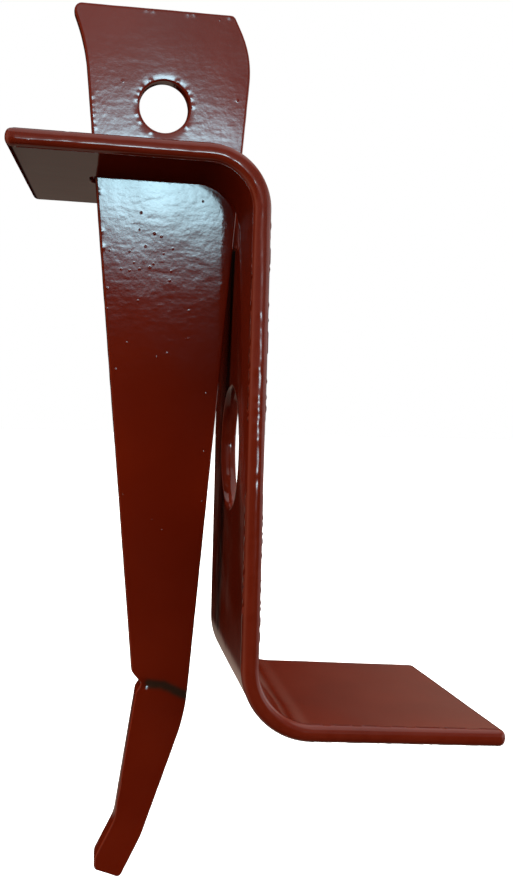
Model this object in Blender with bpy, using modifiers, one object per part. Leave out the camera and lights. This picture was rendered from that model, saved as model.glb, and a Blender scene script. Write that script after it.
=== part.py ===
"""Hoof pick hanging in a Z-shaped steel bracket.

Frame: metres. The origin is on the bracket web's outer face, above the web's hole and
halfway across the bar. +X points out of that face, +Y runs across the bar and +Z is up.
"""
import math

import bmesh
import bpy
from mathutils import Matrix, Vector

# Bracket: one flat bar bent twice into a Z
BAR_WIDTH = 0.0508
BAR_THICKNESS = 0.0034
BAR_EDGE_ROUND = 0.0010
BRACKET_HEIGHT = 0.1106
FACE_POINT_HEIGHT = 0.0275          # origin's height above the web's middle
SHELF_REACH = 0.0469                # web's outer face to the shelf's end
FOOT_REACH = 0.0520                 # web's inner face to the foot's end
SHELF_BEND = 0.0116                 # outer bend radii
FOOT_BEND = 0.0145
SHELF_RISE = math.radians(0.5)      # how far each bend stops short of square
FOOT_DROP = math.radians(2.9)
SHELF_END_SKEW = math.radians(2.8)  # how far each end is cut out of square
FOOT_END_SKEW = math.radians(3.0)
END_CORNER = 0.0015
WEB_HOLE = 0.0246
WEB_HOLE_DROP = 0.0010              # hole's centre below the web's middle

# Slot for the pick: through the shelf and on through the bend
SLOT_WIDTH = 0.0062
SLOT_MIDDLE = -0.0004               # slot's middle line, across the bar
SLOT_START = -0.0327
SLOT_FOOT = 0.0402                  # slot's lower end, above the web's middle
SLOT_CORNER = 0.0012

# Pick: a tapered flat blade with a bent, notched tip. It is drawn upright, with heights
# above the web's middle, and then leans about the line where it leaves the shelf.
PICK_THICKNESS = 0.0048
PICK_EDGE_ROUND = 0.0008
PICK_FRONT = -0.0028
PICK_LEAN = math.radians(6.2)
HANG_HOLE = 0.0098
HANG_HOLE_CENTRE = (-0.01866, 0.06670)
CREASE_ENDS = ((-0.02058, -0.05343), (-0.00999, -0.05661))
CREASE_RADIUS = 0.0022
CREASE_DEPTH = 0.0004

ENAMEL_RED = (0.13, 0.018, 0.010, 1.0)
MID = -FACE_POINT_HEIGHT            # height of the web's middle in the part's frame
CUT = 0.01                          # how far cutters run past what they cut


def clear_scene():
    for item in list(bpy.data.objects):
        bpy.data.objects.remove(item, do_unlink=True)


def new_collection(name):
    group = bpy.data.collections.new(name)
    bpy.context.scene.collection.children.link(group)
    return group


def enamel(name):
    material = bpy.data.materials.new(name)
    material.use_nodes = True
    shader = material.node_tree.nodes["Principled BSDF"]
    shader.inputs["Base Color"].default_value = ENAMEL_RED
    shader.inputs["Roughness"].default_value = 0.22
    shader.inputs["Metallic"].default_value = 0.0
    material.diffuse_color = ENAMEL_RED
    return material


def arc(centre, radius, start, end, steps):
    """Points along a circular arc, both ends included."""
    angles = [start + (end - start) * k / steps for k in range(steps + 1)]
    return [(centre[0] + radius * math.cos(a), centre[1] + radius * math.sin(a)) for a in angles]


def filleted(corners, steps):
    """A closed outline from (x, y, radius) corners, each rounded by an arc of its radius."""
    points = []
    count = len(corners)
    for index, (x, y, radius) in enumerate(corners):
        here = Vector((x, y))
        before = (Vector(corners[index - 1][:2]) - here).normalized()
        after = (Vector(corners[(index + 1) % count][:2]) - here).normalized()
        half = before.angle(after) / 2
        centre = here + (before + after).normalized() * (radius / math.sin(half))
        first = here + before * (radius / math.tan(half)) - centre
        turn = first.angle_signed(here + after * (radius / math.tan(half)) - centre)
        for k in range(steps + 1):
            spoke = first.copy()
            spoke.rotate(Matrix.Rotation(-turn * k / steps, 2))
            points.append(tuple(centre + spoke))
    return points


def slab(name, outline, thickness, group, upright=False):
    """A flat outline given thickness, lying in XY or standing in XZ, centred on its plane."""
    curve = bpy.data.curves.new(name, "CURVE")
    curve.dimensions = "2D"
    curve.fill_mode = "BOTH"
    curve.extrude = thickness / 2
    spline = curve.splines.new("POLY")
    spline.points.add(len(outline) - 1)
    for point, (x, y) in zip(spline.points, outline):
        point.co = (x, y, 0.0, 1.0)
    spline.use_cyclic_u = True
    guide = bpy.data.objects.new(name + "_outline", curve)
    group.objects.link(guide)
    bpy.context.view_layer.update()
    evaluated = guide.evaluated_get(bpy.context.evaluated_depsgraph_get())
    mesh = bpy.data.meshes.new_from_object(evaluated)
    bpy.data.objects.remove(guide, do_unlink=True)
    if upright:
        mesh.transform(Matrix.Rotation(math.pi / 2, 4, "X"))
    shell = bmesh.new()
    shell.from_mesh(mesh)
    bmesh.ops.remove_doubles(shell, verts=shell.verts, dist=0.00001)
    bmesh.ops.recalc_face_normals(shell, faces=shell.faces)
    shell.to_mesh(mesh)
    shell.free()
    mesh.name = name
    solid = bpy.data.objects.new(name, mesh)
    group.objects.link(solid)
    return solid


def rod(name, radius, length, centre, direction, group):
    """A cylinder cutter with its middle at centre."""
    bpy.ops.mesh.primitive_cylinder_add(vertices=48, radius=radius, depth=length)
    cylinder = bpy.context.active_object
    cylinder.name = name
    cylinder.location = centre
    cylinder.rotation_mode = "QUATERNION"
    cylinder.rotation_quaternion = Vector(direction).to_track_quat("Z", "Y")
    for owner in list(cylinder.users_collection):
        owner.objects.unlink(cylinder)
    group.objects.link(cylinder)
    return cylinder


def as_cutter(item):
    item.hide_render = True
    item.display_type = "WIRE"
    return item


def boolean(target, operation, other):
    step = target.modifiers.new(operation.lower() + "_" + other.name, "BOOLEAN")
    step.operation = operation
    step.object = as_cutter(other)


def round_edges(target, width, segments):
    bevel = target.modifiers.new("rounded_edges", "BEVEL")
    bevel.width = width
    bevel.segments = segments
    bevel.limit_method = "ANGLE"
    bevel.angle_limit = math.radians(35)


def bar_profile():
    """The bent bar's side view: shelf to the left, web down, foot to the right."""
    half = BRACKET_HEIGHT / 2
    shelf_centre = (-SHELF_BEND, MID + half - SHELF_BEND)
    foot_centre = (FOOT_BEND - BAR_THICKNESS, MID - half + FOOT_BEND)
    shelf_inner = SHELF_BEND - BAR_THICKNESS
    foot_inner = FOOT_BEND - BAR_THICKNESS
    shelf_angle = math.pi / 2 - SHELF_RISE
    foot_angle = 1.5 * math.pi - FOOT_DROP
    shelf_run = Vector((-math.cos(SHELF_RISE), math.sin(SHELF_RISE))) * (SHELF_REACH - SHELF_BEND + CUT)
    foot_run = Vector((math.cos(FOOT_DROP), -math.sin(FOOT_DROP))) * (FOOT_REACH - FOOT_BEND + CUT)

    shelf_top = arc(shelf_centre, SHELF_BEND, shelf_angle, 0.0, 10)
    foot_top = arc(foot_centre, foot_inner, math.pi, foot_angle, 10)
    foot_bottom = arc(foot_centre, FOOT_BEND, foot_angle, math.pi, 12)
    shelf_bottom = arc(shelf_centre, shelf_inner, 0.0, shelf_angle, 8)
    return (
        [tuple(Vector(shelf_top[0]) + shelf_run)] + shelf_top
        + foot_top + [tuple(Vector(foot_top[-1]) + foot_run)]
        + [tuple(Vector(foot_bottom[0]) + foot_run)] + foot_bottom
        + shelf_bottom + [tuple(Vector(shelf_bottom[-1]) + shelf_run)]
    )


def bar_plan():
    """The bracket seen from above: both ends slightly out of square, corners rounded."""
    half = BAR_WIDTH / 2
    foot_end = FOOT_REACH - BAR_THICKNESS
    shelf_skew = half * math.tan(SHELF_END_SKEW)
    foot_skew = half * math.tan(FOOT_END_SKEW)
    corners = [
        (-SHELF_REACH - shelf_skew, -half, END_CORNER),
        (foot_end + foot_skew, -half, END_CORNER),
        (foot_end - foot_skew, half, END_CORNER),
        (-SHELF_REACH + shelf_skew, half, END_CORNER),
    ]
    return filleted(corners, 5)


def holder_bracket(parts, cutters):
    body = slab("holder_bracket", bar_profile(), BAR_WIDTH + 2 * CUT, parts, upright=True)
    boolean(body, "INTERSECT", slab("bar_plan", bar_plan(), 3 * BRACKET_HEIGHT, cutters))
    round_edges(body, BAR_EDGE_ROUND, 2)

    slot_corners = [
        (SLOT_START, SLOT_MIDDLE - SLOT_WIDTH / 2, SLOT_CORNER),
        (CUT, SLOT_MIDDLE - SLOT_WIDTH / 2, SLOT_CORNER),
        (CUT, SLOT_MIDDLE + SLOT_WIDTH / 2, SLOT_CORNER),
        (SLOT_START, SLOT_MIDDLE + SLOT_WIDTH / 2, SLOT_CORNER),
    ]
    slot = slab("pick_slot", filleted(slot_corners, 4), 2 * CUT, cutters)
    slot.location.z = MID + SLOT_FOOT + CUT
    boolean(body, "DIFFERENCE", slot)

    hole_centre = (0.0, 0.0, MID - WEB_HOLE_DROP)
    hole = rod("web_hole", WEB_HOLE / 2, 2 * CUT, hole_centre, (1, 0, 0), cutters)
    boolean(body, "DIFFERENCE", hole)
    body.data.materials.append(enamel("bracket_enamel"))
    return body


def pick_outline():
    """The blade's outline seen from the front, anticlockwise from the top left corner."""
    millimetres = [
        (-37.35, 85.2, 1.5),    # top left corner
        (-34.45, 77.7, 36.0),    # left side sweeps out to the top
        (-22.1, -50.8, 0.8),   # notch in the left edge
        (-20.0, -53.4, 0.3),
        (-21.15, -55.2, 0.8),
        (-25.1, -84.5, 9.0),   # tip bends again
        (-29.2, -93.3, 1.5),    # blunt end
        (-29.2, -96.1, 0.8),
        (-23.4, -98.4, 1.0),
        (-18.95, -88.6, 20.0),
        (-10.15, -60.6, 45.0),   # outside of the first bend
        (-1.35, 77.7, 18.0),    # right side rounds over to the top
        (-5.3, 85.2, 1.2),     # top right corner
    ]
    corners = [(x / 1000, z / 1000 + MID, radius / 1000) for x, z, radius in millimetres]
    return filleted(corners, 6)


def hoof_pick(parts, cutters):
    blade = slab("hoof_pick", pick_outline(), PICK_THICKNESS, parts, upright=True)
    middle = PICK_FRONT + PICK_THICKNESS / 2
    round_edges(blade, PICK_EDGE_ROUND, 2)

    hole_centre = (HANG_HOLE_CENTRE[0], middle, HANG_HOLE_CENTRE[1] + MID)
    hole = rod("hang_hole", HANG_HOLE / 2, 2 * CUT, hole_centre, (0, 1, 0), cutters)
    boolean(blade, "DIFFERENCE", hole)

    (x0, z0), (x1, z1) = CREASE_ENDS
    along = Vector((x1 - x0, 0.0, z1 - z0))
    crease_y = PICK_FRONT - CREASE_RADIUS + CREASE_DEPTH
    crease_centre = ((x0 + x1) / 2, crease_y, (z0 + z1) / 2 + MID)
    crease = rod("crease", CREASE_RADIUS, along.length + 2 * CUT, crease_centre, along, cutters)
    boolean(blade, "DIFFERENCE", crease)

    slot_middle = Vector(((SLOT_START - BAR_THICKNESS) / 2, middle, MID + BRACKET_HEIGHT / 2))
    blade.data.transform(Matrix.Translation(Vector((0.0, middle, 0.0)) - slot_middle))
    blade.location = slot_middle
    pivot = Vector((0.0, PICK_FRONT, MID + BRACKET_HEIGHT / 2 - BAR_THICKNESS))
    lean = (
        Matrix.Translation(pivot) @ Matrix.Rotation(PICK_LEAN, 4, "X") @ Matrix.Translation(-pivot)
    )
    for item in (blade, hole, crease):
        item.matrix_basis = lean @ item.matrix_basis
    blade.data.materials.append(enamel("pick_enamel"))
    return blade


def main():
    clear_scene()
    parts = new_collection("hoof_pick_and_holder")
    cutters = new_collection("cutters")
    for solid in (holder_bracket(parts, cutters), hoof_pick(parts, cutters)):
        solid.data.shade_smooth()
        solid.data.set_sharp_from_angle(angle=math.radians(30))


main()
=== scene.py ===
"""Looks of a hoof pick hanging in its Z-shaped holder bracket, both in thick red enamel.

Both pieces are flat plates with rounded, paint-softened rims. Each is worked out flat as
grids of (along, across, height), then stood up or bent into place, and its surface gets
the waves, beads and drops of brushed enamel.
"""

import math

import bmesh
import bpy
import numpy as np
from mathutils import Matrix, Vector

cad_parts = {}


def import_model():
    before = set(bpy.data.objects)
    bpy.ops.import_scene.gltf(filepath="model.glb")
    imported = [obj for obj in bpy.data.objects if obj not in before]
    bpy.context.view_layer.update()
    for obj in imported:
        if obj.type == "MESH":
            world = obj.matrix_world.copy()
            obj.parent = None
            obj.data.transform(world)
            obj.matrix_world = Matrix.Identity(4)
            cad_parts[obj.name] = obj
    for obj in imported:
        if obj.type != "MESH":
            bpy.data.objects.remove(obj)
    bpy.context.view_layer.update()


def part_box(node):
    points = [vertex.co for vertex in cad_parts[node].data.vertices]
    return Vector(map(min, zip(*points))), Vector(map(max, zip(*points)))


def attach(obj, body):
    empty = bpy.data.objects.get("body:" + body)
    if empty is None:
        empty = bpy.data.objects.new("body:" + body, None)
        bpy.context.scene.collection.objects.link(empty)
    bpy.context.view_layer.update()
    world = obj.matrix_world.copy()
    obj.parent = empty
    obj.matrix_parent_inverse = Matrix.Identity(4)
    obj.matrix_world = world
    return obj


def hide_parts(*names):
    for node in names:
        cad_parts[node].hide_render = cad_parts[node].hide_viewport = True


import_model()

MM = 0.001
BRACKET_LOW, BRACKET_HIGH = (np.array(corner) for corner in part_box("holder_bracket"))
PICK_LOW = np.array(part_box("hoof_pick")[0])

# Bar of the bracket, in metres
BAR_WIDTH = BRACKET_HIGH[1] - BRACKET_LOW[1]
BAR_THICKNESS = 3.4 * MM
BAR_MIDDLE = (BRACKET_HIGH[1] + BRACKET_LOW[1]) / 2
SHELF_REACH = 46.9 * MM
FOOT_REACH = 52.0 * MM
SHELF_BEND = 11.6 * MM
FOOT_BEND = 14.5 * MM
WEB_MIDDLE = -27.5 * MM
HALF_HEIGHT = 55.3 * MM
SHELF_RISE = math.radians(0.5)
FOOT_DROP = math.radians(2.9)
SHELF_END_SKEW = math.radians(2.8)
FOOT_END_SKEW = math.radians(3.0)
END_CORNER = 1.5 * MM
WEB_HOLE_RADIUS = 12.3 * MM
WEB_HOLE_DROP = 1.0 * MM
SLOT_WIDTH = 6.2 * MM
SLOT_MIDDLE = -0.4 * MM
SLOT_START = -32.7 * MM
SLOT_FOOT = 40.2 * MM
SLOT_CORNER = 1.6 * MM
BAR_RIM = 1.45 * MM
BAR_EYE_RIM = 0.8 * MM
BAR_EYE_MARGIN = 3.2 * MM

# Pick: drawn upright, then leaned about the line where its front leaves the shelf
PICK_THICKNESS = 4.8 * MM
PICK_FRONT = -2.8 * MM
PICK_LEAN = math.radians(6.2)
# Heights of the upright blade are above the web's middle, in millimetres
PICK_TOP = 85.2
LEFT_EDGE = [(-22.1, -50.8), (-34.45, 77.7)]
PICK_PIVOT = WEB_MIDDLE + HALF_HEIGHT - BAR_THICKNESS
PICK_RIM = 0.38 * MM
HANG_HOLE_RADIUS = 4.9 * MM
HANG_HOLE_CENTRE = np.array([-18.66, 66.7]) * MM + np.array([0.0, WEB_MIDDLE])
HOLE_RIM = 0.35 * MM
HOLE_MARGIN = 1.8 * MM

# Rims: powers of their rounding, and of the mark that colours them
BAR_ROUNDING = 2.35
PICK_ROUNDING = 3.0
RIM_POWER = 0.7

# Points nearer than WELD_GAP become one, and edges shorter than SLIVER go
WELD_GAP = 2e-6
SLIVER = 1e-7


# ---------------------------------------------------------------- flat plates


def filleted(corners, steps=14):
    """A closed outline: each (x, y, radius) corner becomes an arc of that radius, tangent to
    both its sides. Returns the points and, for each corner, its arc's middle index."""
    points, middles = [], []
    spots = np.array([corner[:2] for corner in corners])
    for index, (x, y, radius) in enumerate(corners):
        here = np.array([x, y])
        before = spots[index - 1] - here
        after = spots[(index + 1) % len(corners)] - here
        before /= np.linalg.norm(before)
        after /= np.linalg.norm(after)
        half = math.acos(np.clip(before @ after, -1, 1)) / 2
        bisector = (before + after) / np.linalg.norm(before + after)
        centre = here + bisector * radius / math.sin(half)
        first = here + before * radius / math.tan(half) - centre
        last = here + after * radius / math.tan(half) - centre
        turn = math.atan2(first[0] * last[1] - first[1] * last[0], first @ last)
        angles = turn * np.linspace(0, 1, steps + 1)
        cos, sin = np.cos(angles), np.sin(angles)
        spokes = np.stack([cos * first[0] - sin * first[1], sin * first[0] + cos * first[1]], 1)
        middles.append(len(points) + steps // 2)
        points.extend(centre + spokes)
    return np.array(points), middles


def resampled(outline, start, end, count, crowd=None):
    """count + 1 points along a closed outline from index start to index end, evenly spaced
    by arc length, or crowded by a rising function of the way along (0 to 1)."""
    if end <= start:
        end += len(outline)
    run = outline[np.arange(start, end + 1) % len(outline)]
    length = np.concatenate([[0], np.cumsum(np.linalg.norm(np.diff(run, axis=0), axis=1))])
    way = np.linspace(0, 1, count + 1)
    if crowd is not None:
        way = crowd(way)
    at = way * length[-1]
    return np.stack([np.interp(at, length, run[:, 0]), np.interp(at, length, run[:, 1])], 1)


def outward(loop):
    """Unit normals of a closed anticlockwise loop, pointing out of it: the chord between a
    point's neighbours, turned a quarter turn clockwise."""
    chord = np.roll(loop, -1, axis=0) - np.roll(loop, 1, axis=0)
    normal = np.stack([chord[:, 1], -chord[:, 0]], 1)
    return normal / np.linalg.norm(normal, axis=1, keepdims=True)


def filled(bottom, right, top, left):
    """A Coons patch: the blend of four side curves less the blend of their corners."""
    u = np.linspace(0, 1, len(bottom))[None, :, None]
    v = np.linspace(0, 1, len(left))[:, None, None]
    sides = (1 - v) * bottom[None] + v * top[None] + (1 - u) * left[:, None] + u * right[:, None]
    low_corners = (1 - u) * (1 - v) * bottom[0] + u * (1 - v) * bottom[-1]
    corners = low_corners + (1 - u) * v * top[0] + u * v * top[-1]
    return sides - corners


def ring_of(grid, rows, cols):
    """The closed loop of grid points round the block rows[0]..rows[1], cols[0]..cols[1]."""
    (r0, r1), (c0, c1) = rows, cols
    return np.concatenate([
        grid[r0, c0:c1], grid[r0:r1, c1], grid[r1, c1:c0:-1], grid[r1:r0:-1, c0],
    ])


def eyed_ring(ring, centre, half_size, radius):
    """A hole's outline, one point for each point of the ring round it: the ring shrunk to the
    hole's box, its corners pulled onto arcs. Returns points and normals into the hole."""
    span = (ring.max(axis=0) - ring.min(axis=0)) / 2
    middle = (ring.max(axis=0) + ring.min(axis=0)) / 2
    flat = (ring - middle) / span * half_size
    core = np.clip(flat, -(half_size - radius), half_size - radius)
    away = flat - core
    away /= np.maximum(np.linalg.norm(away, axis=1, keepdims=True), 1e-12)
    return centre + core + away * radius, -away


def rim_profile(thickness, depth, steps, power):
    """Half a superellipse: how far in from the outline, and how high, from the upper face
    round the rim to the lower face."""
    angle = np.linspace(math.pi / 2, -math.pi / 2, steps + 1)
    inward = depth * (1 - np.abs(np.cos(angle)) ** (2 / power))
    height = thickness / 2 * np.sign(np.sin(angle)) * np.abs(np.sin(angle)) ** (2 / power)
    inward[[0, -1]] = depth
    return inward, height


class Plate:
    """Collects grids of points (along, across, height) and their faces."""

    def __init__(self, thickness, power):
        self.thickness = thickness
        self.power = power
        self.points = []
        self.faces = []
        self.count = 0

    def add_grid(self, grid, keep=None, flip=False, closed=False):
        """A grid of rows by columns as quads. keep masks faces, closed joins the last column."""
        rows, cols = grid.shape[:2]
        index = self.count + np.arange(rows * cols).reshape(rows, cols)
        if closed:
            index = np.concatenate([index, index[:, :1]], axis=1)
        quads = np.stack([index[:-1, :-1], index[:-1, 1:], index[1:, 1:], index[1:, :-1]], -1)
        quads = quads[keep] if keep is not None else quads.reshape(-1, 4)
        self.faces.append(quads[:, ::-1] if flip else quads)
        self.points.append(grid.reshape(-1, 3))
        self.count += rows * cols

    def add_faces(self, flat, keep=None, closed=False):
        """One flat grid, twice: on the upper and the lower face."""
        for height, flip in ((self.thickness / 2, False), (-self.thickness / 2, True)):
            level = np.full(flat.shape[:2] + (1,), height)
            self.add_grid(np.concatenate([flat, level], -1), keep, flip, closed)

    def add_rim(self, loop, normal, depth, steps):
        """The rim profile carried round a closed loop."""
        inward, height = rim_profile(self.thickness, depth, steps, self.power)
        flat = loop[None] - inward[:, None, None] * normal[None]
        level = np.broadcast_to(height[:, None, None], flat.shape[:2] + (1,))
        self.add_grid(np.concatenate([flat, level], -1), closed=True)

    def add_outline(self, sides, depth, eyes, rim_steps=16, eye_rows=10):
        """The whole plate: four side curves, anticlockwise, and eyes, its holes, each with
        its block of the grid, centre, half size, corner radius and rim depth."""
        counts = [len(side) - 1 for side in sides]
        loop = np.concatenate([side[:-1] for side in sides])
        normal = outward(loop)
        inner = loop - depth * normal
        starts = np.cumsum([0] + counts)
        inner = np.concatenate([inner, inner[:1]])
        bottom, right, top, left = (inner[a:b + 1] for a, b in zip(starts[:-1], starts[1:]))
        grid = filled(bottom, right, top[::-1], left[::-1])
        keep = np.ones((grid.shape[0] - 1, grid.shape[1] - 1), bool)
        for eye in eyes:
            (r0, r1), (c0, c1) = eye["rows"], eye["cols"]
            keep[r0:r1, c0:c1] = False
            ring = ring_of(grid, eye["rows"], eye["cols"])
            edge, into = eyed_ring(ring, eye["centre"], eye["half"], eye["radius"])
            lip = edge - into * eye["rim"]
            blend = np.linspace(0, 1, eye_rows + 1)[:, None, None]
            self.add_faces(ring[None] * (1 - blend) + lip[None] * blend, closed=True)
            self.add_rim(edge[::-1], into[::-1], eye["rim"], rim_steps)
        self.add_faces(grid, keep)
        self.add_rim(loop, normal, depth, rim_steps)

    def arrays(self):
        return np.concatenate(self.points), np.concatenate(self.faces)


def block_round(grid, centre, half_size):
    """Rows and columns of the grid block that encloses a box about centre."""
    inside = np.all(np.abs(grid - centre) < half_size, axis=-1)
    rows = np.flatnonzero(inside.any(axis=1))
    cols = np.flatnonzero(inside.any(axis=0))
    return (rows[0] - 1, rows[-1] + 1), (cols[0] - 1, cols[-1] + 1)


def to_mesh(name, points, faces):
    """A mesh from arrays, its patches welded along their shared edges, faces outward."""
    mesh = bpy.data.meshes.new(name)
    mesh.from_pydata(points.tolist(), [], faces.tolist())
    shell = bmesh.new()
    shell.from_mesh(mesh)
    bmesh.ops.remove_doubles(shell, verts=shell.verts, dist=WELD_GAP)
    bmesh.ops.dissolve_degenerate(shell, edges=shell.edges, dist=SLIVER)
    bmesh.ops.recalc_face_normals(shell, faces=shell.faces)
    shell.to_mesh(mesh)
    shell.free()
    mesh.shade_smooth()
    return mesh


def places(mesh):
    """Every vertex's place, as one array."""
    points = np.empty(len(mesh.vertices) * 3)
    mesh.vertices.foreach_get("co", points)
    return points.reshape(-1, 3)


def moved_to(mesh, points):
    mesh.vertices.foreach_set("co", np.ascontiguousarray(points).ravel())
    mesh.update()


def mark_rim(mesh, thickness):
    """Stores how far round the rim a vertex of a flat plate is: 0 on the faces, 1 halfway
    between them, as the height's fall from the face to the power RIM_POWER."""
    height = np.abs(places(mesh)[:, 2]) / (thickness / 2)
    values = np.clip(1 - height, 0, 1) ** RIM_POWER
    attribute = mesh.attributes.new("rim", "FLOAT", "POINT")
    attribute.data.foreach_set("value", values)


# ---------------------------------------------------------------- surface of the enamel


def waves(points, wavelength, seed, count=28):
    """Smooth noise, mostly from -1 to 1: the sum of count cosines of random direction and
    phase over the root of count, of 0.6 to 1.6 times the wavelength given."""
    dice = np.random.default_rng(seed)
    direction = dice.normal(size=(3, count))
    direction /= np.linalg.norm(direction, axis=0)
    number = 2 * math.pi / (wavelength * dice.uniform(0.6, 1.6, count))
    phase = dice.uniform(0, 2 * math.pi, count)
    return np.cos(points @ (direction * number) + phase).sum(axis=1) / math.sqrt(count)


def bead(points, centre, radius, height):
    """A round drop: height times exp of minus the squared distance from centre over radius."""
    gap = np.linalg.norm(points - np.array(centre), axis=1)
    return height * np.exp(-((gap / radius) ** 2))


def streak(points, start, end, radius, height):
    """A long drop or groove: the same bell curve of the distance from a segment."""
    start, end = np.array(start), np.array(end)
    along = end - start
    way = np.clip((points - start) @ along / (along @ along), 0, 1)
    gap = np.linalg.norm(points - start - way[:, None] * along, axis=1)
    return height * np.exp(-((gap / radius) ** 2))


def displaced(mesh, relief):
    """Moves each vertex along its normal by relief(points, normals)."""
    points = places(mesh)
    normals = np.empty(points.size)
    mesh.vertex_normals.foreach_get("vector", normals)
    normals = normals.reshape(-1, 3)
    moved_to(mesh, points + normals * relief(points, normals)[:, None])


# ---------------------------------------------------------------- holder bracket


def bar_path():
    """The bar's middle line: its heading turns evenly through each bend, and the places are the
    running sums of the heading's cosine and sine, set so that the web's top is in its place.
    Returns the way along, x, z, the heading and where each run ends."""
    radius_one = SHELF_BEND - BAR_THICKNESS / 2
    radius_two = FOOT_BEND - BAR_THICKNESS / 2
    runs = {
        "shelf": SHELF_REACH - SHELF_BEND,
        "shelf_bend": radius_one * (math.pi / 2 - SHELF_RISE),
        "web": 2 * HALF_HEIGHT - SHELF_BEND - FOOT_BEND,
        "foot_bend": radius_two * (math.pi / 2 - FOOT_DROP),
        "foot": FOOT_REACH - FOOT_BEND,
    }
    ends = np.cumsum([0.0] + list(runs.values()))
    spare = 3 * MM
    way = np.linspace(-spare, ends[-1] + spare, 20001)
    headings = [-SHELF_RISE, -SHELF_RISE, -math.pi / 2, -math.pi / 2, -FOOT_DROP, -FOOT_DROP]
    heading = np.interp(way, ends, headings)
    step = way[1] - way[0]
    middle = (heading[1:] + heading[:-1]) / 2
    x = np.concatenate([[0], np.cumsum(np.cos(middle) * step)])
    z = np.concatenate([[0], np.cumsum(np.sin(middle) * step)])
    x += -BAR_THICKNESS / 2 - np.interp(ends[2], way, x)
    z += WEB_MIDDLE + HALF_HEIGHT - SHELF_BEND - np.interp(ends[2], way, z)
    return way, x, z, heading, ends


def bent(flat, path):
    """Flat plate points (way along, across, height) laid along the bar's middle line."""
    way, x, z, heading, _ = path
    turn = np.interp(flat[:, 0], way, heading)
    px = np.interp(flat[:, 0], way, x) - np.sin(turn) * flat[:, 2]
    pz = np.interp(flat[:, 0], way, z) + np.cos(turn) * flat[:, 2]
    return np.stack([px, flat[:, 1] + BAR_MIDDLE, pz], 1)


# Drops of enamel on the front edge: heights up the web, and the two in the upper bend
WEB_DROPS = (16.0, -2.4, -5.1, -12.7, -17.8, -20.2, -22.9, -25.8, -32.1)
BEND_DROPS = [(-3.6, 21.5), (-7.4, 24.3)]
DROP_RADIUS = 0.68 * MM
DROP_SHARE = 0.10
# The front edge's slope out of square, and where along the web it fades in and out
EDGE_SHEAR = 0.11
SHEAR_TOP = 12 * MM
SHEAR_FOOT = -75 * MM
SHEAR_FADE = 10 * MM
# How far the whole skin is drawn in, so that its waves and drops stay within the bar's size
BAR_INSET = 0.11 * MM


def bracket_relief(points, normals):
    """The sum of slow waves all over, shorter ones times how far the surface faces sideways,
    drops on the front edge, and along the web EDGE_SHEAR times the depth into the bar."""
    rim = np.clip(np.abs(normals[:, 1]), 0, 1)
    facing = np.clip(-normals[:, 1], 0, 1)
    relief = 0.016 * MM * waves(points, 17 * MM, 11)
    relief += 0.005 * MM * waves(points, 6 * MM, 12)
    relief += 0.014 * MM * rim * waves(points, 5 * MM, 13)
    relief += 0.010 * MM * rim * waves(points, 2.2 * MM, 14)
    web = np.clip((SHEAR_TOP - points[:, 2]) / SHEAR_FADE, 0, 1)
    web *= np.clip((points[:, 2] - SHEAR_FOOT) / SHEAR_FADE, 0, 1)
    relief += EDGE_SHEAR * web * facing * np.clip(points[:, 0], -BAR_THICKNESS, 0)
    drop_x = -0.55 * BAR_THICKNESS / MM
    for x, z in [(drop_x, z) for z in WEB_DROPS] + BEND_DROPS:
        place = (x * MM, BRACKET_LOW[1], z * MM)
        relief += facing * bead(points, place, DROP_RADIUS, DROP_SHARE * DROP_RADIUS)
    return relief - BAR_INSET


def holder_bracket():
    """The bar laid out flat with its slot and round hole, then bent along its middle line."""
    path = bar_path()
    ends = path[4]
    half = BAR_WIDTH / 2
    lean_one = half * math.tan(SHELF_END_SKEW)
    lean_two = half * math.tan(FOOT_END_SKEW)
    outline, middles = filleted([
        (-lean_one, -half, END_CORNER),
        (ends[-1] + lean_two, -half, END_CORNER),
        (ends[-1] - lean_two, half, END_CORNER),
        (lean_one, half, END_CORNER),
    ])
    long_count, short_count = 330, 92
    counts = (long_count, short_count, long_count, short_count)
    sides = [
        resampled(outline, middles[side], middles[(side + 1) % len(middles)], count)
        for side, count in enumerate(counts)
    ]
    web_middle = ends[2] + HALF_HEIGHT - SHELF_BEND
    slot_from = SLOT_START + SHELF_REACH
    slot_to = web_middle - SLOT_FOOT
    slot_half = np.array([(slot_to - slot_from) / 2, SLOT_WIDTH / 2])
    slot_centre = np.array([(slot_to + slot_from) / 2, SLOT_MIDDLE])
    hole_centre = np.array([web_middle + WEB_HOLE_DROP, 0.0])
    hole_half = np.array([WEB_HOLE_RADIUS, WEB_HOLE_RADIUS])

    plate = Plate(BAR_THICKNESS, BAR_ROUNDING)
    rough = filled(sides[0], sides[1], sides[2][::-1], sides[3][::-1])
    eyes = []
    for centre, half_size, radius in (
        (slot_centre, slot_half, SLOT_CORNER),
        (hole_centre, hole_half, WEB_HOLE_RADIUS),
    ):
        rows, cols = block_round(rough, centre, half_size + BAR_EYE_MARGIN)
        eyes.append({"rows": rows, "cols": cols, "centre": centre, "half": half_size,
                     "radius": radius, "rim": BAR_EYE_RIM})
    plate.add_outline(sides, BAR_RIM, eyes)
    mesh = to_mesh("holder_bracket_enamelled", *plate.arrays())
    mark_rim(mesh, BAR_THICKNESS)
    moved_to(mesh, bent(places(mesh), path))
    displaced(mesh, bracket_relief)
    piece = bpy.data.objects.new(mesh.name, mesh)
    bpy.context.scene.collection.objects.link(piece)
    piece.data.materials.append(bracket_enamel())
    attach(piece, "bracket")
    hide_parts("holder_bracket")


# ---------------------------------------------------------------- hoof pick


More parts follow.
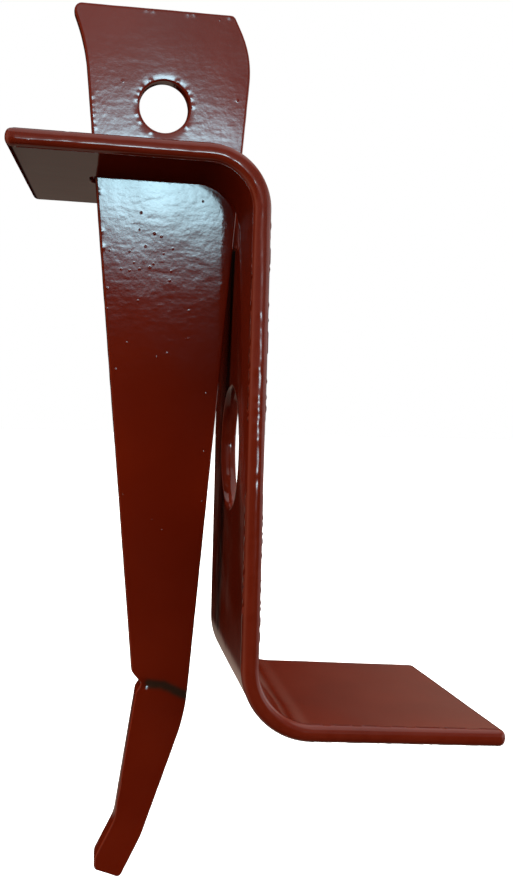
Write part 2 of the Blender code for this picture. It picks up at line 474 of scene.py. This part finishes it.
def pick_outline():
    """The blade's outline, anticlockwise from the top left, in metres. Its corners are given
    as x, height above the web's middle and radius, in millimetres."""
    corners = [
        (-37.35, PICK_TOP, 1.5),
        (*LEFT_EDGE[1], 36.0),
        (*LEFT_EDGE[0], 1.0),
        (-20.0, -53.4, 0.3),
        (-21.15, -55.2, 1.0),
        (-25.1, -84.5, 9.0),
        (-29.2, -93.3, 1.5),
        (-29.2, -96.1, 0.95),
        (-23.4, -98.4, 1.1),
        (-18.95, -88.6, 20.0),
        (-10.15, -60.6, 45.0),
        (-1.35, 77.7, 18.0),
        (-5.3, PICK_TOP, 1.2),
    ]
    return filleted([(x * MM, z * MM + WEB_MIDDLE, r * MM) for x, z, r in corners])


def gap_to(loop, flat):
    """Each flat point's distance from the nearest of a loop's points, in blocks."""
    blocks = []
    for start in range(0, len(flat), 8000):
        away = flat[start:start + 8000, None] - loop[None]
        blocks.append(np.sqrt((away ** 2).sum(-1).min(1)))
    return np.concatenate(blocks)


# Beads where the enamel drew together: bearings round the hang hole, in degrees, and heights up
# the left edge and places along the top edge of the upright blade, in millimetres
HOLE_BEADS = (6, 22, 38, 64, 121, 143, 156, 168, 198, 213, 243, 322)
LEFT_EDGE_BEADS = (67.7, 66.3, 65.3, 64.3, 63.2, 61.9, 55.5, 49.6, 41.8, 38.6)
TOP_EDGE_BEADS = (-22.9, -21.5, -14.6, -13.4, -6.4)
BEAD_INSET = 0.45
BEAD_RADIUS = 0.45 * MM
BEAD_HEIGHT = 0.045 * MM
BEAD_RING = 5.5 * MM
# The crease's turns, and the dent and drop beside the notch, on the upright blade
CREASE = [(-18.2, -53.4), (-15.2, -53.8), (-10.0, -56.3)]
CREASE_RADIUS = 1.15 * MM
CREASE_DEPTH = 0.20 * MM
DENT = (-19.0, -53.3)
DENT_RADIUS = 1.5 * MM
DENT_SLOPE = 0.20
NOTCH_DROP = (-20.6, -57.6)
# The enamel's fat edge, as places in from the outline, and the dish round the hang hole
FAT_EDGE_HEIGHT = 0.008 * MM
FAT_EDGE_INSET = 0.50 * MM
FAT_EDGE_WIDTH = 0.26 * MM
DISH_DEPTH = 0.055 * MM
DISH_WIDTH = 0.95 * MM


def on_pick(x, up):
    """A place on the upright blade's front, from millimetres across and above the middle."""
    return (x * MM, PICK_FRONT, up * MM + WEB_MIDDLE)


def bead_places():
    """Where the beads are, round the hole and just inside the left and the top edge."""
    (foot_x, foot_up), (head_x, head_up) = LEFT_EDGE
    hole_x, hole_z = HANG_HOLE_CENTRE
    spots = []
    for bearing in HOLE_BEADS:
        across = BEAD_RING * math.cos(math.radians(bearing))
        above = BEAD_RING * math.sin(math.radians(bearing))
        spots.append((hole_x + across, PICK_FRONT, hole_z + above))
    for up in LEFT_EDGE_BEADS:
        share = (up - foot_up) / (head_up - foot_up)
        spots.append(on_pick(foot_x + share * (head_x - foot_x) + BEAD_INSET, up))
    for x in TOP_EDGE_BEADS:
        spots.append(on_pick(x, PICK_TOP - BEAD_INSET))
    return spots


def pit(points, centre, radius, slope):
    """A cone going in: a straight slope from the rim to the centre."""
    gap = np.linalg.norm(points - np.array(centre), axis=1)
    return -slope * np.clip(radius - gap, 0, None)


def crease_share(points):
    """How deep in the crease each point is, 1 along its middle: the greater of the long drops
    from turn to turn."""
    turns = [on_pick(x, up) for x, up in CREASE]
    runs = [streak(points, *run, CREASE_RADIUS, 1.0) for run in zip(turns[:-1], turns[1:])]
    return np.maximum(*runs)


def pick_relief(outline, points, normals):
    """The sum of slow waves, shorter ones on the rims, a fat edge of enamel (a bell curve of
    the distance in from the outline), the crease across the tip, a cone dent with small waves
    and a drop beside the notch, a dish (a bell curve of the distance from the hole) and beads."""
    facing = np.clip(-normals[:, 1], 0, 1)
    rim = 1 - np.abs(normals[:, 1])
    relief = 0.007 * MM * waves(points, 14 * MM, 21)
    relief += 0.0018 * MM * waves(points, 5 * MM, 22)
    relief += 0.014 * MM * rim * waves(points, 3.5 * MM, 24)

    gap = gap_to(outline[::3], points[:, [0, 2]])
    edge = np.exp(-((gap - FAT_EDGE_INSET) / FAT_EDGE_WIDTH) ** 2)
    relief += FAT_EDGE_HEIGHT * facing * edge

    relief -= CREASE_DEPTH * facing * crease_share(points)
    dent = pit(points, on_pick(*DENT), DENT_RADIUS, DENT_SLOPE)
    dent += 0.012 * MM * waves(points, 1.6 * MM, 25) * (dent < 0)
    relief += facing * dent
    relief += facing * bead(points, on_pick(*NOTCH_DROP), 0.8 * MM, 0.07 * MM)

    from_hole = np.linalg.norm(points[:, [0, 2]] - HANG_HOLE_CENTRE, axis=1) - HANG_HOLE_RADIUS
    relief -= facing * DISH_DEPTH * np.exp(-((from_hole / DISH_WIDTH) ** 2))
    for place in bead_places():
        relief += facing * bead(points, place, BEAD_RADIUS, BEAD_HEIGHT)
    return relief


def leaned(mesh):
    """Turns an upright pick mesh about its pivot line, so that its top comes forward."""
    pivot = Vector((0, PICK_FRONT, PICK_PIVOT))
    turn = Matrix.Rotation(PICK_LEAN, 4, "X")
    mesh.transform(Matrix.Translation(pivot) @ turn @ Matrix.Translation(-pivot))


def hoof_pick():
    """The blade laid out flat with its hang hole, stood up, then leaned back in its slot."""
    outline, middles = pick_outline()
    top_left, blunt_left, blunt_right, top_right = middles[0], middles[7], middles[8], middles[12]

    crowding = 0.13

    def finer_above(way):
        """Points further apart in the first half of the way and closer in the second."""
        return way + crowding * np.sin(math.pi * way) ** 2

    def finer_after(way):
        """The same with its two halves the other way round."""
        return 1 - finer_above(1 - way)

    long_count, short_count = 410, 86
    sides = [
        resampled(outline, blunt_left, blunt_right, short_count),
        resampled(outline, blunt_right, top_right, long_count, finer_above),
        resampled(outline, top_right, top_left, short_count),
        resampled(outline, top_left, blunt_left, long_count, finer_after),
    ]
    plate = Plate(PICK_THICKNESS, PICK_ROUNDING)
    rough = filled(sides[0], sides[1], sides[2][::-1], sides[3][::-1])
    hole_half = np.array([HANG_HOLE_RADIUS, HANG_HOLE_RADIUS])
    rows, cols = block_round(rough, HANG_HOLE_CENTRE, hole_half + HOLE_MARGIN)
    eye = {"rows": rows, "cols": cols, "centre": HANG_HOLE_CENTRE, "half": hole_half,
           "radius": HANG_HOLE_RADIUS, "rim": HOLE_RIM}
    plate.add_outline(sides, PICK_RIM, [eye])
    mesh = to_mesh("hoof_pick_enamelled", *plate.arrays())
    mark_rim(mesh, PICK_THICKNESS)
    middle = PICK_FRONT + PICK_THICKNESS / 2
    mesh.transform(Matrix.Translation((0, middle, 0)) @ Matrix.Rotation(math.pi / 2, 4, "X"))
    # The crease attribute darkens the enamel's colour there: painted shade of the groove.
    attribute = mesh.attributes.new("crease", "FLOAT", "POINT")
    attribute.data.foreach_set("value", crease_share(places(mesh)))
    displaced(mesh, lambda points, normals: pick_relief(outline, points, normals))
    leaned(mesh)
    piece = bpy.data.objects.new(mesh.name, mesh)
    bpy.context.scene.collection.objects.link(piece)
    piece.data.materials.append(pick_enamel())
    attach(piece, "pick")
    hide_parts("hoof_pick")


# ---------------------------------------------------------------- enamel

# Dark brown painted along the crease across the tip: painted shade of the groove.
CREASE_SHADE = (0.030, 0.014, 0.008)
# Nibs: cells of their net in a metre, and how wide and tall their crowd is, in metres
NIB_CELLS = 480.0
CROWD_WIDTH = 0.0065
CROWD_HEIGHT = 0.0055
# Where the bracket's nibs crowd: nowhere near it, in metres
FAR_AWAY = 1.0


class Sums:
    """Chains math nodes in a node tree, each call giving the next value's socket."""

    def __init__(self, tree):
        self.tree = tree

    def __call__(self, operation, *values):
        node = self.tree.nodes.new("ShaderNodeMath")
        node.operation = operation
        for socket, value in zip(node.inputs, values):
            if isinstance(value, (int, float)):
                socket.default_value = value
            else:
                self.tree.links.new(value, socket)
        return node.outputs[0]

    def bell(self, value, centre, width):
        """exp of minus the squared distance from centre over width."""
        off = self("DIVIDE", self("SUBTRACT", value, centre), width)
        return self("EXPONENT", self("MULTIPLY", self("MULTIPLY", off, off), -1.0))

    def ramp(self, value, low, high, bottom=0.0, top=1.0):
        """A smooth step from bottom to top as value goes from low to high."""
        node = self.tree.nodes.new("ShaderNodeMapRange")
        node.interpolation_type = "SMOOTHSTEP"
        for name, number in (("From Min", low), ("From Max", high),
                             ("To Min", bottom), ("To Max", top)):
            node.inputs[name].default_value = number
        self.tree.links.new(value, node.inputs["Value"])
        return node.outputs["Result"]


def new_group(name, inputs, outputs):
    """An empty shader node group with named sockets, given as (kind, name, default)."""
    group = bpy.data.node_groups.new(name, "ShaderNodeTree")
    for kind, socket, default in inputs:
        made = group.interface.new_socket(socket, in_out="INPUT", socket_type="NodeSocket" + kind)
        made.default_value = default
    for kind, socket in outputs:
        group.interface.new_socket(socket, in_out="OUTPUT", socket_type="NodeSocket" + kind)
    return group, group.nodes.new("NodeGroupInput").outputs, group.nodes.new("NodeGroupOutput").inputs


def noise(tree, place, scale, detail, roughness=0.5, stretch=None):
    """A noise value over the piece's own coordinates, scale in waves a metre."""
    if stretch:
        mapping = tree.nodes.new("ShaderNodeMapping")
        mapping.inputs["Scale"].default_value = stretch
        tree.links.new(place, mapping.inputs["Vector"])
        place = mapping.outputs[0]
    node = tree.nodes.new("ShaderNodeTexNoise")
    node.inputs["Detail"].default_value = detail
    node.inputs["Roughness"].default_value = roughness
    tree.links.new(place, node.inputs["Vector"])
    if isinstance(scale, (int, float)):
        node.inputs["Scale"].default_value = scale
    else:
        tree.links.new(scale, node.inputs["Scale"])
    return node.outputs[0]


def skin_group():
    """Height of the enamel's skin, in peel depths: orange peel, level sags and nibs.

    Peel is noise of the peel's scale, sags are the same noise drawn out sideways, and a nib is
    the near part of a random cell of a net laid over the front. Nibs Share of the cells have
    one, and more where the nibs' crowd, a bell curve about Crowd X and Crowd Z, is.
    """
    group, given, out = new_group(
        "enamel_skin",
        [("Float", "Peel Scale", 620.0), ("Float", "Sag Share", 0.6), ("Float", "Nib Height", 1.0),
         ("Float", "Nib Share", 0.05), ("Float", "Crowd X", 0.0), ("Float", "Crowd Z", 0.0)],
        [("Float", "Height"), ("Float", "Nib")],
    )
    sums = Sums(group)
    place = group.nodes.new("ShaderNodeTexCoord").outputs["Object"]
    peel = noise(group, place, given["Peel Scale"], 2.0)
    fine = noise(group, place, sums("MULTIPLY", given["Peel Scale"], 2.7), 1.0)
    sag = noise(group, place, sums("MULTIPLY", given["Peel Scale"], 1.1), 1.0, 0.4, (0.30, 1, 1))

    split = group.nodes.new("ShaderNodeSeparateXYZ")
    group.links.new(place, split.inputs[0])
    x, _, z = split.outputs
    flat = group.nodes.new("ShaderNodeCombineXYZ")
    group.links.new(x, flat.inputs[0])
    group.links.new(z, flat.inputs[1])
    cells = group.nodes.new("ShaderNodeTexVoronoi")
    cells.voronoi_dimensions = "2D"
    cells.inputs["Scale"].default_value = NIB_CELLS
    group.links.new(flat.outputs[0], cells.inputs["Vector"])
    dice = group.nodes.new("ShaderNodeSeparateXYZ")
    group.links.new(cells.outputs["Color"], dice.inputs[0])
    crowd = sums("MULTIPLY", sums.bell(x, given["Crowd X"], CROWD_WIDTH),
                 sums.bell(z, given["Crowd Z"], CROWD_HEIGHT))
    share = sums("ADD", sums("MULTIPLY", crowd, 0.85), given["Nib Share"])
    chosen = sums("LESS_THAN", dice.outputs[0], share)
    size = sums("ADD", 0.060, sums("MULTIPLY", dice.outputs[1], 0.045))
    nib = sums.bell(cells.outputs["Distance"], 0.0, size)
    nib = sums("MULTIPLY", nib, chosen)

    total = sums("ADD", peel, sums("MULTIPLY", fine, 0.12))
    total = sums("ADD", total, sums("MULTIPLY", sag, given["Sag Share"]))
    total = sums("ADD", total, sums("MULTIPLY", nib, given["Nib Height"]))
    group.links.new(total, out["Height"])
    group.links.new(nib, out["Nib"])
    return group


def colour_group():
    """The enamel's red: two reds mixed in slow clouds, a third where it thins on a rim, and a
    dark brown painted into the crease across the tip as its shade."""
    group, given, out = new_group(
        "enamel_red",
        [("Color", "Red", (0.1, 0.01, 0.005, 1)), ("Color", "Deep Red", (0.06, 0.006, 0.003, 1)),
         ("Color", "Rim Red", (0.15, 0.02, 0.01, 1)), ("Color", "Scorch", (0.02, 0.01, 0.006, 1)),
         ("Float", "Cloud Scale", 45.0), ("Float", "Rim Share", 0.6)],
        [("Color", "Colour")],
    )
    sums = Sums(group)
    place = group.nodes.new("ShaderNodeTexCoord").outputs["Object"]
    cloud = sums.ramp(noise(group, place, given["Cloud Scale"], 3.0), 0.34, 0.68)
    patchy = sums.ramp(noise(group, place, 420.0, 2.0), 0.3, 0.6, 0.45, 1.0)
    marks = []
    for name in ("rim", "crease"):
        node = group.nodes.new("ShaderNodeAttribute")
        node.attribute_name = name
        marks.append(node.outputs["Fac"])
    rim_share = sums("MULTIPLY", sums("MULTIPLY", marks[0], patchy), given["Rim Share"])
    ragged = sums("MULTIPLY", marks[1], sums("ADD", 0.75, sums("MULTIPLY", patchy, 0.25)))
    # Painted shade: the colour goes to the dark brown along the crease.
    shaded_crease = sums.ramp(ragged, 0.08, 0.85)
    colour = given["Red"]
    for share, other in ((cloud, given["Deep Red"]), (rim_share, given["Rim Red"]),
                         (shaded_crease, given["Scorch"])):
        mix = group.nodes.new("ShaderNodeMix")
        mix.data_type = "RGBA"
        group.links.new(share, mix.inputs["Factor"])
        group.links.new(colour, mix.inputs["A"])
        group.links.new(other, mix.inputs["B"])
        colour = mix.outputs["Result"]
    group.links.new(colour, out["Colour"])
    return group


def gloss_group():
    """Roughness: glossy all over, a little duller in handled smears."""
    group, given, out = new_group(
        "enamel_gloss",
        [("Float", "Gloss Roughness", 0.06), ("Float", "Smear Roughness", 0.12),
         ("Float", "Smear Scale", 60.0)],
        [("Float", "Roughness")],
    )
    sums = Sums(group)
    place = group.nodes.new("ShaderNodeTexCoord").outputs["Object"]
    smear = sums.ramp(noise(group, place, given["Smear Scale"], 4.0, 0.6), 0.42, 0.72)
    span = sums("SUBTRACT", given["Smear Roughness"], given["Gloss Roughness"])
    total = sums("ADD", given["Gloss Roughness"], sums("MULTIPLY", smear, span))
    group.links.new(total, out["Roughness"])
    return group


def placed(tree, group, **values):
    """A group node in a material, its named inputs set; a socket given is linked."""
    node = tree.nodes.new("ShaderNodeGroup")
    node.node_tree = group
    for name, value in values.items():
        socket = node.inputs[name.replace("_", " ").title()]
        if isinstance(value, bpy.types.NodeSocket):
            tree.links.new(value, socket)
        else:
            socket.default_value = value
    return node.outputs


def enamel(name, reds, skin, peel_depth, gloss, shine):
    """Thick brushed enamel: a glossy skin over red, with its own peel, nibs and clouds.

    reds are the red, deep red and rim red. skin names the skin group's values, whose height is
    in peel depths. gloss is the roughness, clean and smeared. shine tints the reflections.
    """
    material = bpy.data.materials.new(name)
    material.use_nodes = True
    tree = material.node_tree
    shader = tree.nodes["Principled BSDF"]
    shader.inputs["IOR"].default_value = 1.5
    shader.inputs["Specular Tint"].default_value = (*shine, 1)
    height = placed(tree, SKIN, **skin)["Height"]
    # The crease colour given here is painted shade along the crease.
    red = placed(tree, RED, red=(*reds[0], 1), deep_red=(*reds[1], 1), rim_red=(*reds[2], 1),
                 scorch=(*CREASE_SHADE, 1), cloud_scale=38.0, rim_share=0.65)
    dull = placed(tree, GLOSS, gloss_roughness=gloss[0], smear_roughness=gloss[1], smear_scale=70.0)
    bump = tree.nodes.new("ShaderNodeBump")
    bump.inputs["Strength"].default_value = 1.0
    bump.inputs["Distance"].default_value = peel_depth
    tree.links.new(height, bump.inputs["Height"])
    tree.links.new(bump.outputs[0], shader.inputs["Normal"])
    tree.links.new(red["Colour"], shader.inputs["Base Color"])
    tree.links.new(dull["Roughness"], shader.inputs["Roughness"])
    return material


def bracket_enamel():
    reds = (0.112, 0.0096, 0.0026), (0.092, 0.0074, 0.0020), (0.130, 0.0155, 0.0065)
    skin = {"peel_scale": 520.0, "sag_share": 0.4, "nib_height": 3.0, "nib_share": 0.03,
            "crowd_x": FAR_AWAY, "crowd_z": 0.0}
    return enamel("bracket_enamel_paint", reds, skin, peel_depth=0.006 * MM,
                  gloss=(0.06, 0.12), shine=(1.0, 0.88, 0.85))


def pick_enamel():
    reds = (0.134, 0.0098, 0.0019), (0.112, 0.0076, 0.0015), (0.140, 0.0130, 0.0040)
    skin = {"peel_scale": 760.0, "sag_share": 0.8, "nib_height": 2.6, "nib_share": 0.05,
            "crowd_x": -0.0232, "crowd_z": 0.0112}
    return enamel("pick_enamel_paint", reds, skin, peel_depth=0.0125 * MM,
                  gloss=(0.06, 0.10), shine=(1.0, 1.0, 1.0))


# ---------------------------------------------------------------- camera, light and floor

CAMERA_PLACE = Vector((-32.44, -209.22, -18.70)) * MM
CAMERA_YAW = math.radians(-9.437)
CAMERA_PITCH = math.radians(-2.206)
CAMERA_ROLL = math.radians(-1.186)
CAMERA_LENS = 41.67
CAMERA_FILM = 36.0
# The soft window in front, as slopes across and up from straight ahead of the pick
WINDOW_ACROSS = 0.058
WINDOW_UP = -0.010
WINDOW_WIDTH = 0.085
WINDOW_HEIGHT = 0.050
WINDOW_GLOW = 28.0
# The warm near white of the soft lights
SOFT_WHITE = (1.0, 0.97, 0.95)
FLOOR_REACH = 3.0
FLOOR_DROP = 0.004


def camera():
    """The view from in front and a little to the left, with a lens in millimetres."""
    data = bpy.data.cameras.new("camera")
    data.sensor_fit = "VERTICAL"
    data.sensor_height = CAMERA_FILM
    data.lens = CAMERA_LENS
    data.clip_start = 0.01
    item = bpy.data.objects.new("camera", data)
    bpy.context.scene.collection.objects.link(item)
    turn = (
        Matrix.Rotation(CAMERA_PITCH, 4, "X")
        @ Matrix.Rotation(CAMERA_YAW, 4, "Z")
        @ Matrix.Rotation(CAMERA_ROLL, 4, "Y")
        @ Matrix.Rotation(math.pi / 2, 4, "X")
    )
    item.matrix_world = Matrix.Translation(CAMERA_PLACE) @ turn
    bpy.context.scene.camera = item


def fill_light(name, azimuth, elevation, size, power):
    """A soft square light placed by its bearing from the pick, that lights the enamel's own
    colour and leaves no shine."""
    target = Vector((-0.018, 0.0, 0.0))
    distance = 1.2
    azimuth, elevation = math.radians(azimuth), math.radians(elevation)
    away = Vector((
        math.sin(azimuth) * math.cos(elevation), -math.cos(azimuth) * math.cos(elevation),
        math.sin(elevation),
    ))
    data = bpy.data.lights.new(name, "AREA")
    data.shape = "RECTANGLE"
    data.size = data.size_y = size
    data.energy = power
    data.color = SOFT_WHITE
    item = bpy.data.objects.new(name, data)
    bpy.context.scene.collection.objects.link(item)
    item.location = target + away * distance
    item.rotation_euler = away.to_track_quat("Z", "Y").to_euler()
    item.visible_camera = False
    item.visible_glossy = False


def floor():
    """A pale floor just below the pick, unseen in reflections and lighting nothing."""
    signs = ((-1, -1), (1, -1), (1, 1), (-1, 1))
    corners = [(x * FLOOR_REACH, y * FLOOR_REACH, 0) for x, y in signs]
    mesh = bpy.data.meshes.new("floor")
    mesh.from_pydata(corners, [], [(0, 1, 2, 3)])
    item = bpy.data.objects.new("floor", mesh)
    bpy.context.scene.collection.objects.link(item)
    item.location.z = PICK_LOW[2] - FLOOR_DROP
    material = bpy.data.materials.new("pale_floor")
    material.use_nodes = True
    shader = material.node_tree.nodes["Principled BSDF"]
    shader.inputs["Base Color"].default_value = (0.8, 0.8, 0.8, 1)
    shader.inputs["Roughness"].default_value = 0.9
    shader.inputs["Emission Color"].default_value = (1, 1, 1, 1)
    shader.inputs["Emission Strength"].default_value = 0.9
    mesh.materials.append(material)
    item.visible_glossy = False
    item.visible_diffuse = False


def tinted(tree, colour, strength):
    """A background shader of one colour, its strength linked from a value."""
    node = tree.nodes.new("ShaderNodeBackground")
    node.inputs["Color"].default_value = (*colour, 1)
    if isinstance(strength, (int, float)):
        node.inputs["Strength"].default_value = strength
    else:
        tree.links.new(strength, node.inputs["Strength"])
    return node.outputs[0]


def added(tree, one, other):
    """Both shaders' light together."""
    node = tree.nodes.new("ShaderNodeAddShader")
    tree.links.new(one, node.inputs[0])
    tree.links.new(other, node.inputs[1])
    return node.outputs[0]


def world():
    """White to the camera. To everything else a dim room with one soft bluish window in
    front of the pick, a weak glow above it, and behind a table and a warm wall, lighter to the
    right. A warm side wall shows in the edges that face left, and a pale ceiling and right hand
    panel in views from other sides."""
    room = bpy.data.worlds.new("room")
    room.use_nodes = True
    bpy.context.scene.world = room
    tree = room.node_tree
    tree.nodes.clear()
    sums = Sums(tree)
    place = tree.nodes.new("ShaderNodeTexCoord")
    split = tree.nodes.new("ShaderNodeSeparateXYZ")
    tree.links.new(place.outputs["Generated"], split.inputs[0])
    x, y, z = split.outputs
    ahead = sums("MAXIMUM", sums("MULTIPLY", y, -1.0), 0.001)
    front = sums.ramp(y, 0.15, -0.15)
    across = sums("DIVIDE", x, ahead)
    up = sums("DIVIDE", z, ahead)

    window = sums("MULTIPLY", sums.bell(across, WINDOW_ACROSS, WINDOW_WIDTH),
                  sums.bell(up, WINDOW_UP, WINDOW_HEIGHT))
    window = sums("MULTIPLY", sums("MULTIPLY", window, front), WINDOW_GLOW)
    # The glow above the window
    above = sums("MULTIPLY", sums.bell(across, 0.03, 0.14), sums.bell(up, 0.11, 0.16))
    above = sums("ADD", sums("MULTIPLY", above, 0.9), sums.ramp(up, -0.05, 0.10, 0.0, 0.2))
    above = sums("MULTIPLY", above, front)
    # The table and the warm wall behind
    behind = sums("SUBTRACT", 1.0, front)
    low_wall = sums("MULTIPLY", sums.ramp(z, 0.08, -0.12, 0.0, 0.19), sums.ramp(x, -0.13, -0.06))
    table = sums.ramp(z, -0.20, -0.42, 0.0, 0.30)
    high_wall = sums("MULTIPLY", sums.ramp(z, 0.05, 0.25), sums.ramp(x, 0.14, 0.50, 0.01, 0.44))
    wall = sums("ADD", sums("ADD", low_wall, table), high_wall)
    wall = sums("MULTIPLY", wall, behind)
    # The side wall to the left
    side = sums("MULTIPLY", sums.bell(y, -0.10, 0.45), sums.ramp(x, -0.35, -0.80))
    side = sums("MULTIPLY", sums("MULTIPLY", side, sums.bell(z, -0.1, 0.6)), 0.95)
    # The pale ceiling and right hand panel
    ceiling = sums("MULTIPLY", sums.ramp(z, 0.62, 0.80), 0.9)
    panel = sums("MULTIPLY", sums.ramp(x, 0.62, 0.80), sums.bell(z, 0.1, 0.35))
    panels = sums("ADD", ceiling, sums("MULTIPLY", panel, 1.1))
    light = tinted(tree, (0.54, 0.86, 1.0), window)
    for colour, strength in (((1, 0.96, 0.98), above), ((1.0, 0.74, 0.60), wall),
                             ((1.0, 0.48, 0.30), side), ((0.95, 0.98, 1.0), panels)):
        light = added(tree, light, tinted(tree, colour, strength))

    path = tree.nodes.new("ShaderNodeLightPath")
    mix = tree.nodes.new("ShaderNodeMixShader")
    tree.links.new(path.outputs["Is Camera Ray"], mix.inputs["Fac"])
    tree.links.new(light, mix.inputs[1])
    tree.links.new(tinted(tree, (1, 1, 1), 1.0), mix.inputs[2])
    out = tree.nodes.new("ShaderNodeOutputWorld")
    tree.links.new(mix.outputs[0], out.inputs["Surface"])


SKIN, RED, GLOSS = skin_group(), colour_group(), gloss_group()
camera()
world()
floor()
fill_light("fill_front", 20, 25, 1.0, 9)
fill_light("fill_left", -70, 10, 0.8, 9)
fill_light("fill_back", 165, 35, 1.0, 14)
fill_light("fill_right", 95, 15, 0.8, 7)
fill_light("fill_low", -15, -40, 0.8, 5)
bpy.context.scene.view_settings.view_transform = "Standard"
holder_bracket()
hoof_pick()
